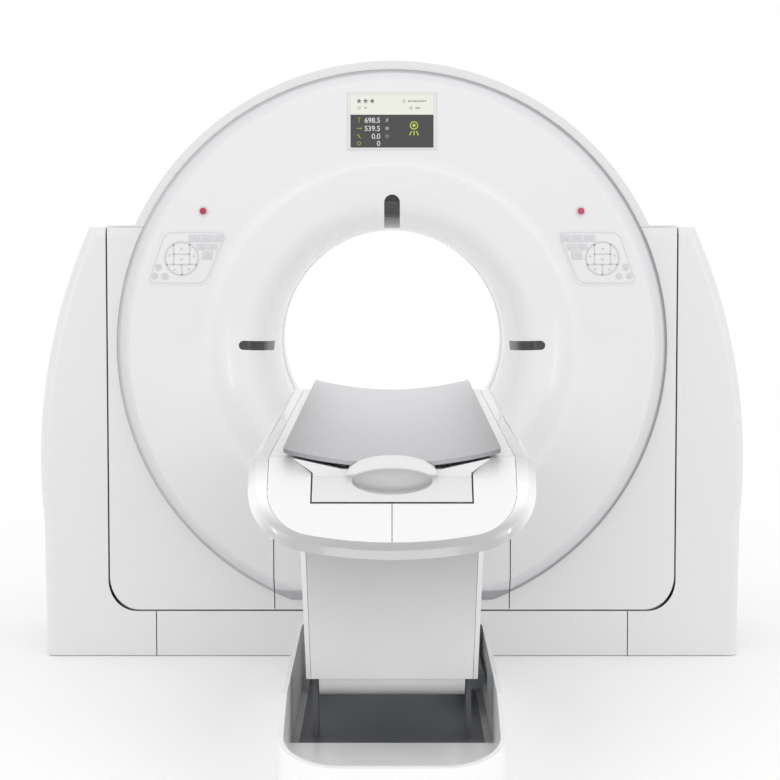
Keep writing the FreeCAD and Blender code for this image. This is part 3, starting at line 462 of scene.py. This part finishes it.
frame_grey = powder_coat("frame_grey", (0.10, 0.105, 0.115))
motor_grey = powder_coat("motor_grey", (0.17, 0.19, 0.21))
tube_cream = powder_coat("tube_cream", (0.62, 0.61, 0.55))
for node in ("gantry_base_frame", "tilt_frame", "table_frame", "table_base_frame", "front_arm",
             "rear_arm", "cradle_carriage"):
    dress(node, frame_grey)
for node in ("rotor_motor", "tilt_gearmotor", "lift_gearmotor"):
    dress(node, motor_grey)
for node in ("xray_tube", "hv_generator", "collimator"):
    dress(node, tube_cream)


# Turned and ground metal: bearing races, rotor drum, detector and slip ring, with the tool marks
# running round the bore.
def turned_metal(name, colour, gloss):
    material, shader, point = start_finish(name, {})
    distance, height, across, along = bore_polar(point)
    turned = distance * 900 + along * 900
    marks = point.node("TexNoise", {"noise_dimensions": "1D"}, {"W": turned, "Detail": 3})
    oil = noise(point, 5, 4)
    return finish(material, shader, base_color=blend(marks, shade(colour, 0.85), colour),
                  metallic=0.92 + 0.08 * oil, roughness=gloss + 0.14 * (marks - 0.5) + 0.1 * (oil - 0.5),
                  normal=relief(marks, 0.00006))


ground_steel = turned_metal("ground_steel", (0.56, 0.57, 0.58), 0.24)
for node in ("bearing_inner_race", "bearing_outer_race", "trunnion_bearings", "guide_rails"):
    dress(node, ground_steel)
drum_metal = turned_metal("drum_metal", (0.66, 0.67, 0.68), 0.36)
dress("rotor_drum", drum_metal)
dress("detector_arc", drum_metal)
dress("slip_ring", turned_metal("slip_tracks", (0.66, 0.50, 0.24), 0.2))
foot_rubber = rubber("foot_rubber", 0.03)
dress("levelling_feet", foot_rubber)
dress("drive_wheel", foot_rubber)


# Laser windows: dark glass in three slots round the bore, each with a paler strip near its inner end and a
# fainter, narrower one further out. The line lasers stand behind them.
def laser_glass():
    material, shader, point = start_finish("laser_glass", clear_coat(0.8, 0.03, 1.52))
    distance, height, across, along = bore_polar(point)
    lens = (distance > 0.384) * (distance < 0.402) + (distance > 0.444) * (distance < 0.450) * 0.5
    smear = noise(point, 60, 3)
    return finish(material, shader, base_color=blend(lens, (0.010, 0.010, 0.012), (0.06, 0.06, 0.065)),
                  roughness=0.08 + 0.1 * smear)


window_glass = laser_glass()
dress("laser_window_top", window_glass)
dress("laser_windows_side", window_glass)
dress("laser_modules", powder_coat("laser_black", (0.015, 0.015, 0.016)))

# Stop buttons: gloss red plastic pushes, each in a white collar pressed into the disc cover.
stop_red = moulded_plastic("stop_red", (0.42, 0.015, 0.05), 0.22, coat=0.5, tint=0.9)
dress("stop_button_left", stop_red)
# The right push is the same red as the left, given a paler copy as painted light.
dress("stop_button_right", moulded_plastic("stop_red_painted_lighter", (0.52, 0.05, 0.10), 0.3, coat=0.5, tint=0.9))
dress("stop_collars", moulded_plastic("collar_white", (0.74, 0.74, 0.75), 0.3))


# Display: a glass screen in a thin matt frame. The screen is lit: a pale head band, and a dark
# field under it with the table's height and travel, the tilt and the countdown as plain numbers.
screen_low, screen_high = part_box("display_screen")
screen_face = screen_low.y
field_top = screen_high.z - 0.0605
lit_depth = 0.0004


def screen_glow():
    material, shader, point = start_finish("screen_glow", {"IOR": 1.5, "Emission Strength": 0.55})
    distance, height, across, along = bore_polar(point)
    head = height > field_top - iso.z
    grid = noise(point, 900, 1)
    lit = blend(head, (0.036, 0.036, 0.037), (0.53, 0.54, 0.485))
    glow = blend(grid * 0.08, lit, (0.0, 0.0, 0.0))
    return finish(material, shader, base_color=glow, emission_color=glow, roughness=0.14 + 0.08 * grid)


def lit_ink(name, colour, strength=0.8):
    """Colour shown on the screen, with the faint unevenness of a lit panel."""
    material, shader, point = start_finish(name, {"Emission Strength": strength, "Roughness": 0.3})
    glow = blend(noise(point, 300, 1) * 0.3, colour, shade(colour, 0.8))
    return finish(material, shader, base_color=glow, emission_color=glow)


dress("display_screen", screen_glow())
dress("display_bezel", moulded_plastic("bezel_white", (0.74, 0.74, 0.72), 0.45, coat=0.0))


def flat_shape(points, place, y_face, thick=lit_depth):
    """Thin plate facing the table: its outline in (x, z) about a place, filled and extruded."""
    bpy.ops.mesh.primitive_circle_add(vertices=len(points), radius=1, fill_type="NGON", location=(0, 0, 0))
    shape = bpy.context.active_object
    for vertex, (x, z) in zip(shape.data.vertices, points):
        vertex.co = (place[0] + x, y_face, place[1] + z)
    bpy.ops.object.mode_set(mode="EDIT")
    bpy.ops.mesh.select_all(action="SELECT")
    bpy.ops.mesh.extrude_region_move(TRANSFORM_OT_translate={"value": (0, -thick, 0)})
    bpy.ops.mesh.select_all(action="SELECT")
    bpy.ops.mesh.normals_make_consistent(inside=False)
    bpy.ops.object.mode_set(mode="OBJECT")
    return shape


def ring_points(radius, count=40):
    turns = [2 * math.pi * i / count for i in range(count)]
    return [(radius * math.cos(turn), radius * math.sin(turn)) for turn in turns]


def bar_points(width, height, lean=0.0):
    """Upright bar, its top moved sideways by lean."""
    return [(-width / 2 - lean / 2, -height / 2), (width / 2 - lean / 2, -height / 2),
            (width / 2 + lean / 2, height / 2), (-width / 2 + lean / 2, height / 2)]


def star_points(radius):
    reach = [radius, radius * 0.45] * 5
    return [(r * math.sin(math.pi * i / 5), r * math.cos(math.pi * i / 5)) for i, r in enumerate(reach)]


def flat_outline(points, width, place, y_face, thick=lit_depth):
    """Thin line facing the table: a plate inset and emptied, then given its thickness."""
    bpy.ops.mesh.primitive_circle_add(vertices=len(points), radius=1, fill_type="NGON", location=(0, 0, 0))
    outline = bpy.context.active_object
    for vertex, (x, z) in zip(outline.data.vertices, points):
        vertex.co = (place[0] + x, y_face, place[1] + z)
    bpy.ops.object.mode_set(mode="EDIT")
    bpy.ops.mesh.select_all(action="SELECT")
    bpy.ops.mesh.inset(thickness=width)
    bpy.ops.mesh.delete(type="FACE")
    bpy.ops.mesh.select_all(action="SELECT")
    bpy.ops.mesh.extrude_region_move(TRANSFORM_OT_translate={"value": (0, -thick, 0)})
    bpy.ops.mesh.select_all(action="SELECT")
    bpy.ops.mesh.normals_make_consistent(inside=False)
    bpy.ops.object.mode_set(mode="OBJECT")
    return outline


def flat_ring(radius, width, place, y_face, thick=lit_depth, count=64):
    """Thin ring facing the table."""
    return flat_outline(ring_points(radius, count), width, place, y_face, thick)


def number(body, right, middle, height):
    """A plain number, set from the right, as a thin mesh on the screen."""
    bpy.ops.object.text_add(location=(right, screen_face, middle - height / 2),
                            rotation=(math.pi / 2, 0, 0))
    text = bpy.context.active_object
    text.data.body = body
    text.data.size = height / 0.7
    text.data.align_x = "RIGHT"
    text.data.extrude = lit_depth
    text.data.offset = 0.0003
    bpy.ops.object.convert(target="MESH")
    return bpy.context.active_object


def on_screen(points, x, z):
    """Thin lit shape at a place on the screen."""
    return flat_shape(points, (x, z), screen_face)


row_heights = [field_top - offset for offset in (0.017, 0.042, 0.066, 0.088)]
figures = ("698.5", "539.5", "0.0", "0")
numbers = [number(body, -0.036, z, 0.0155) for body, z in zip(figures, row_heights)]
settle(join(numbers), "display_numbers", "head", lit_ink("screen_figures", (0.36, 0.36, 0.36)))
unit_x = -0.0152
units = [on_screen(bar_points(0.007, 0.0105, 0.003), unit_x, row_heights[0]),
         on_screen(bar_points(0.0105, 0.0095), unit_x, row_heights[1]),
         flat_ring(0.0052, 0.002, (unit_x, row_heights[2]), screen_face)]
settle(join(units), "display_units", "head", lit_ink("screen_units", (0.17, 0.17, 0.17)))
mark_x = -0.1018
marks = [on_screen(bar_points(0.0024, 0.015), mark_x, row_heights[0]),
         on_screen([(-0.0045, 0), (0.0045, 0), (0, 0.005)], mark_x, row_heights[0] + 0.005),
         on_screen(bar_points(0.015, 0.0024), mark_x, row_heights[1]),
         on_screen([(0, -0.0045), (0.005, 0), (0, 0.0045)], mark_x + 0.005, row_heights[1]),
         on_screen(bar_points(0.0036, 0.014, -0.009), mark_x, row_heights[2]),
         on_screen([(-0.007, 0.001), (0.003, 0.002), (-0.004, 0.008)], mark_x, row_heights[2]),
         flat_ring(0.0062, 0.0022, (mark_x, row_heights[3]), screen_face)]
settle(join(marks), "display_marks", "head", lit_ink("screen_olive", (0.17, 0.185, 0.025)))
sign_x, sign_z = 0.0677, field_top - 0.033
sign = [flat_ring(0.0128, 0.0032, (sign_x, sign_z), screen_face),
        on_screen(ring_points(0.0052), sign_x, sign_z)]
for lean, shift in ((0.006, -0.0105), (0.0, 0.0), (-0.006, 0.0105)):
    sign.append(on_screen(bar_points(0.0036, 0.0135, lean), sign_x + shift, sign_z - 0.0235))
settle(join(sign), "display_sign", "head", lit_ink("screen_lime", (0.27, 0.34, 0.035)))
head_z = screen_high.z - 0.019
stars = [on_screen(star_points(0.0088), x, head_z) for x in (-0.1014, -0.0814, -0.0611)]
stars += [flat_ring(0.0045, 0.0014, (-0.1014, head_z - 0.021), screen_face),
          on_screen([(-0.004, 0.002), (0.004, 0.002), (0, -0.003)], -0.0814, head_z - 0.021)]
for i in range(9):
    tall = 0.0038 if i % 3 else 0.0052
    stars.append(on_screen(bar_points(0.0042, tall), 0.052 + 0.0064 * i, head_z))
stars += [flat_ring(0.0042, 0.0014, (0.037, head_z), screen_face),
          flat_ring(0.0048, 0.0016, (0.0585, head_z - 0.021), screen_face)]
for i in range(3):
    stars.append(on_screen(bar_points(0.0036, 0.0042), 0.074 + 0.0052 * i, head_z - 0.021))
settle(join(stars), "display_header", "head", lit_ink("screen_grey", (0.16, 0.16, 0.16), 0.2))

# Control panels: a printed film on each side of the bore with pale raised keys. The round cluster
# drives the table, the small keys work the tilt and the lights.
panel_low, panel_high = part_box("control_panel_right")
panel_face = panel_low.y
key_relief = 0.0011


def panel_film():
    """Printed film: a silky surface with a fine weave in its gloss and a faint clouding."""
    material, shader, point = start_finish("panel_film", {"IOR": 1.49})
    weave, cloud = noise(point, 1500, 1), noise(point, 8, 3)
    return finish(material, shader, base_color=blend(cloud, (0.76, 0.76, 0.765), (0.79, 0.79, 0.79)),
                  roughness=0.42 + 0.12 * (weave - 0.5), normal=relief(weave, 0.00008))


film = panel_film()
dress("control_panel_left", film)
dress("control_panel_right", film)


def ink(name, colour, gloss=0.4):
    """Screen-printed ink, a little uneven in its thickness."""
    material, shader, point = start_finish(name, {"IOR": 1.49})
    body = noise(point, 260, 3)
    return finish(material, shader, base_color=blend(body, shade(colour, 0.94), colour),
                  roughness=gloss + 0.15 * (body - 0.5), normal=relief(body, 0.00006))


line_ink = ink("line_ink", (0.63, 0.63, 0.64))
border_ink = ink("border_ink", (0.69, 0.69, 0.70))
key_ink = ink("key_ink", (0.66, 0.66, 0.685))
glyph_ink = ink("glyph_ink", (0.60, 0.60, 0.63))


def key(width, height, place, lean=0.0):
    """Raised key: a plate with rounded corners and a soft edge."""
    plate = flat_shape(bar_points(width, height, lean), place, panel_face, key_relief)
    apply_bevel(plate, 0.0009, 2)
    return plate


def other_side(piece, name, body, material):
    """The same piece mirrored to the left panel, turned right side out again."""
    twin = piece.copy()
    twin.data = piece.data.copy()
    bpy.context.scene.collection.objects.link(twin)
    twin.parent = None
    twin.data.transform(Matrix.Scale(-1, 4, (1, 0, 0)))
    twin.data.flip_normals()
    return settle(twin, name, body, material)


cluster = (0.651, iso.z + 0.2744)
upright_x, cross_low, cross_high, line_width = 0.0249, -0.0182, 0.0136, 0.0046
cluster_radius = 0.0545
ring_width, line_overlap = 0.0066, 0.0026
lines = [flat_ring(cluster_radius, ring_width, cluster, panel_face)]
inside = cluster_radius - ring_width + line_overlap


def line_between(x0, z0, x1, z1):
    """Straight printed line from one place of the cluster to another."""
    wide, tall = abs(x1 - x0) or line_width, abs(z1 - z0) or line_width
    middle = (cluster[0] + (x0 + x1) / 2, cluster[1] + (z0 + z1) / 2)
    return flat_shape(bar_points(wide, tall), middle, panel_face)


reach_up = math.sqrt(inside ** 2 - upright_x ** 2)
reach_across = math.sqrt(inside ** 2 - cross_low ** 2)
lines += [line_between(x, cross_low, x, reach_up) for x in (-upright_x, upright_x)]
lines += [line_between(-upright_x, cross_high, upright_x, cross_high),
          line_between(-reach_across, cross_low, reach_across, cross_low),
          line_between(0, -inside, 0, cross_low)]
right_lines = settle(join(lines), "panel_lines_right", "head", line_ink)
other_side(right_lines, "panel_lines_left", "head", line_ink)


def rounded(corners, radius, steps=6):
    """Outline with each corner rounded by a curve between the sides that meet there."""
    points = []
    for i, corner in enumerate(corners):
        start = corner + (corners[i - 1] - corner).normalized() * radius
        end = corner + (corners[(i + 1) % len(corners)] - corner).normalized() * radius
        for step in range(steps + 1):
            way = step / steps
            points.append(tuple(start.lerp(corner, way).lerp(corner.lerp(end, way), way)))
    return points


border_in, border_round, border_wide, border_thick = 0.0035, 0.026, 0.0048, 0.0003
border_top, border_foot = panel_high.z - border_in, panel_low.z + border_in
in_top, out_top, in_foot, out_foot = 0.508, 0.706, 0.573, 0.762
corners = [Vector((in_top + border_in, border_top)), Vector((in_foot + border_in, border_foot)),
           Vector((out_foot - border_in, border_foot)), Vector((out_top - border_in, border_top))]
border = flat_outline(rounded(corners, border_round), border_wide, (0, 0), panel_face, border_thick)
right_border = settle(border, "panel_border_right", "head", border_ink)
other_side(right_border, "panel_border_left", "head", border_ink)

top_row, middle_row, low_row = iso.z + 0.3370, iso.z + 0.3105, iso.z + 0.2843
row_keys = [(0.0335, 0.0235, (0.5375, top_row)), (0.0335, 0.0235, (0.5745, top_row)),
            (0.0335, 0.0235, (0.6115, top_row)), (0.0305, 0.0195, (0.5560, middle_row)),
            (0.0305, 0.0195, (0.5900, middle_row)), (0.0335, 0.0255, (0.5720, low_row))]
keys = [key(width, height, place, -0.003) for width, height, place in row_keys]
round_keys = [(0.7232, iso.z + 0.248), (0.7030, iso.z + 0.220), (0.7347, iso.z + 0.221)]
round_key_radius = 0.0108
for place in round_keys:
    round_key = flat_shape(ring_points(round_key_radius, 28), place, panel_face, key_relief)
    apply_bevel(round_key, 0.0008, 2)
    keys.append(round_key)
right_keys = settle(join(keys), "panel_keys_right", "head", key_ink)
other_side(right_keys, "panel_keys_left", "head", key_ink)

key_face = panel_face - key_relief
glyph_thick = 0.0002
arrow = [(-0.0055, -0.004), (0.0055, -0.004), (0, 0.005)]
glyphs = []
for i, (width, height, place) in enumerate(row_keys):
    shape = bar_points(0.011, 0.0022) if i % 2 else arrow
    glyphs.append(flat_shape(shape, place, key_face, glyph_thick))
for place in round_keys:
    glyphs.append(flat_ring(0.0042, 0.0012, place, key_face, glyph_thick, 20))
arrow_places = ((0, 0.031, 1), (0, -0.003, -1), (-0.0375, 0.008, 1), (0.0375, 0.008, -1),
                (-0.022, -0.034, -1), (0.022, -0.034, 1))
for dx, dz, flip in arrow_places:
    turned = [(x * 1.1, z * flip) for x, z in arrow]
    glyphs.append(flat_shape(turned, (cluster[0] + dx, cluster[1] + dz), panel_face, glyph_thick))
right_glyphs = settle(join(glyphs), "panel_glyphs_right", "head", glyph_ink)
other_side(right_glyphs, "panel_glyphs_left", "head", glyph_ink)

# Rear vents: a pressed panel low on each rear column lets the drives' warm air out. A rolled frame
# is screwed over a rank of leaning slats, with dark mesh cloth behind them.
rear_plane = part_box("base_rear_cover")[1].y
vent_x, vent_z, vent_wide, vent_tall = 0.985, 0.43, 0.12, 0.42
slat_count = 15


def box_corners(width, height):
    """Corners of an upright box, in order round it."""
    across, up = width / 2, height / 2
    return [Vector((-across, -up)), Vector((-across, up)), Vector((across, up)), Vector((across, -up))]


def bar(size, place, lean=0.0, edge=0.001):
    """Bar with rounded edges: a cube stretched, leaned over and bevelled."""
    bpy.ops.mesh.primitive_cube_add(size=1, location=place, rotation=(lean, 0, 0))
    made = bpy.context.active_object
    made.scale = size
    bpy.ops.object.transform_apply(location=False, rotation=False, scale=True)
    apply_bevel(made, edge)
    return made


def face_back(piece):
    """Turn a piece that was made facing the table so that it faces the other way."""
    bpy.ops.object.select_all(action="DESELECT")
    piece.select_set(True)
    bpy.context.view_layer.objects.active = piece
    bpy.ops.object.transform_apply(location=True, rotation=True, scale=True)
    bpy.ops.transform.rotate(value=math.pi, orient_axis="Z", center_override=(0, 0, 0))
    return piece


vent_white = moulded_plastic("vent_white", (0.70, 0.70, 0.705), 0.4)
vent_outline = rounded(box_corners(vent_wide, vent_tall), 0.014)
vent_frame_wide, vent_frame_deep, cloth_thick = 0.011, 0.006, 0.0008
slat_size = (vent_wide - 0.014, 0.009, 0.0022)
slat_lean, slat_out, slat_rise = 0.75, 0.004, vent_tall - 0.044
frames, slats, cloths = [], [], []
for x in (-vent_x, vent_x):
    cloths.append(flat_shape(vent_outline, (x, vent_z), -rear_plane, cloth_thick))
    rolled = flat_outline(vent_outline, vent_frame_wide, (x, vent_z), -rear_plane, vent_frame_deep)
    apply_bevel(rolled, 0.0016)
    frames.append(rolled)
    for i in range(slat_count):
        z = vent_z + slat_rise * (i / (slat_count - 1) - 0.5)
        slats.append(bar(slat_size, (x, -rear_plane - slat_out, z), slat_lean))
settle(face_back(join(cloths)), "vent_cloths", "stand", gasket_rubber)
settle(face_back(join(frames)), "vent_frames", "stand", vent_white)
settle(face_back(join(slats)), "vent_slats", "stand", vent_white)

# Cover fasteners: zinc-plated quarter-turn studs that hold the rear covers, each a domed head with
# a driver slot, in a thin nylon washer.
stud_zinc = turned_metal("stud_zinc", (0.55, 0.56, 0.58), 0.3)
nylon = moulded_plastic("washer_nylon", (0.62, 0.62, 0.60), 0.5, coat=0.0)


def stud(place, radius=0.008):
    """Quarter-turn stud facing the table: head with a slot across it, and the washer round it."""
    washer = flat_ring(radius * 1.5, radius * 0.55, place, -rear_plane, 0.0012, 32)
    head = flat_outline(ring_points(radius, 32), radius * 0.3, place, -rear_plane, 0.0030)
    halves = []
    for side in (-1, 1):
        outline = [(x, z) for x, z in ring_points(radius * 0.75, 40) if side * z > radius * 0.12]
        halves.append(flat_shape(outline, place, -rear_plane, 0.0026))
    dome = join([head] + halves)
    apply_bevel(dome, 0.0004, 1)
    return dome, washer


def set_studs(name, body, places):
    """Put studs in a row of places on the machine's back, and hang them on their body."""
    made = [stud(place) for place in places]
    domes = face_back(join([dome for dome, washer in made]))
    settle(domes, name, body, stud_zinc)
    washers = face_back(join([washer for dome, washer in made]))
    settle(washers, name + "_washers", body, nylon)


fascia_edge, column_edge, cover_height = 0.868, 0.93, 0.118
fascia_places = [(x, z) for x in (-fascia_edge, fascia_edge) for z in (0.32, 0.62, 1.28)]
set_studs("head_studs", "head", fascia_places)
stand_studs = [(x, cover_height) for x in (-0.66, -0.33, 0.33, 0.66)]
stand_studs += [(x, z) for x in (-column_edge, column_edge) for z in (0.15, 0.72, 1.02)]
set_studs("stand_studs", "stand", stand_studs)

# Cable entry: a steel gland plate in the middle of the rear base cover, where the supply and the
# signal cables come in. Three black hexagon glands stand on it, each closed by a rubber plug.
entry_x, entry_z, entry_wide, entry_tall, entry_thick = 0.0, 0.072, 0.26, 0.072, 0.004
plate_outline = rounded(box_corners(entry_wide, entry_tall), 0.01)
plate = flat_shape(plate_outline, (entry_x, entry_z), -rear_plane, entry_thick)
apply_bevel(plate, 0.001)
settle(face_back(plate), "cable_entry_plate", "stand", ground_steel)
plate_face = -rear_plane - entry_thick
gland_step, nut_radius, sleeve_radius, plug_radius = 0.08, 0.0225, 0.0165, 0.0122
glands, plugs = [], []
for x in (entry_x - gland_step, entry_x, entry_x + gland_step):
    nut = flat_outline(ring_points(nut_radius, 6), 0.0075, (x, entry_z), plate_face, 0.010)
    apply_bevel(nut, 0.0012)
    sleeve = flat_outline(ring_points(sleeve_radius, 36), 0.004, (x, entry_z), plate_face, 0.022)
    apply_bevel(sleeve, 0.0018, 3)
    glands += [nut, sleeve]
    plug = flat_shape(ring_points(plug_radius, 36), (x, entry_z), plate_face, 0.019)
    apply_bevel(plug, 0.002, 3)
    plugs.append(plug)
gland_black = powder_coat("gland_black", (0.03, 0.03, 0.032))
settle(face_back(join(glands)), "cable_glands", "stand", gland_black)
settle(face_back(join(plugs)), "gland_plugs", "stand", gasket_rubber)
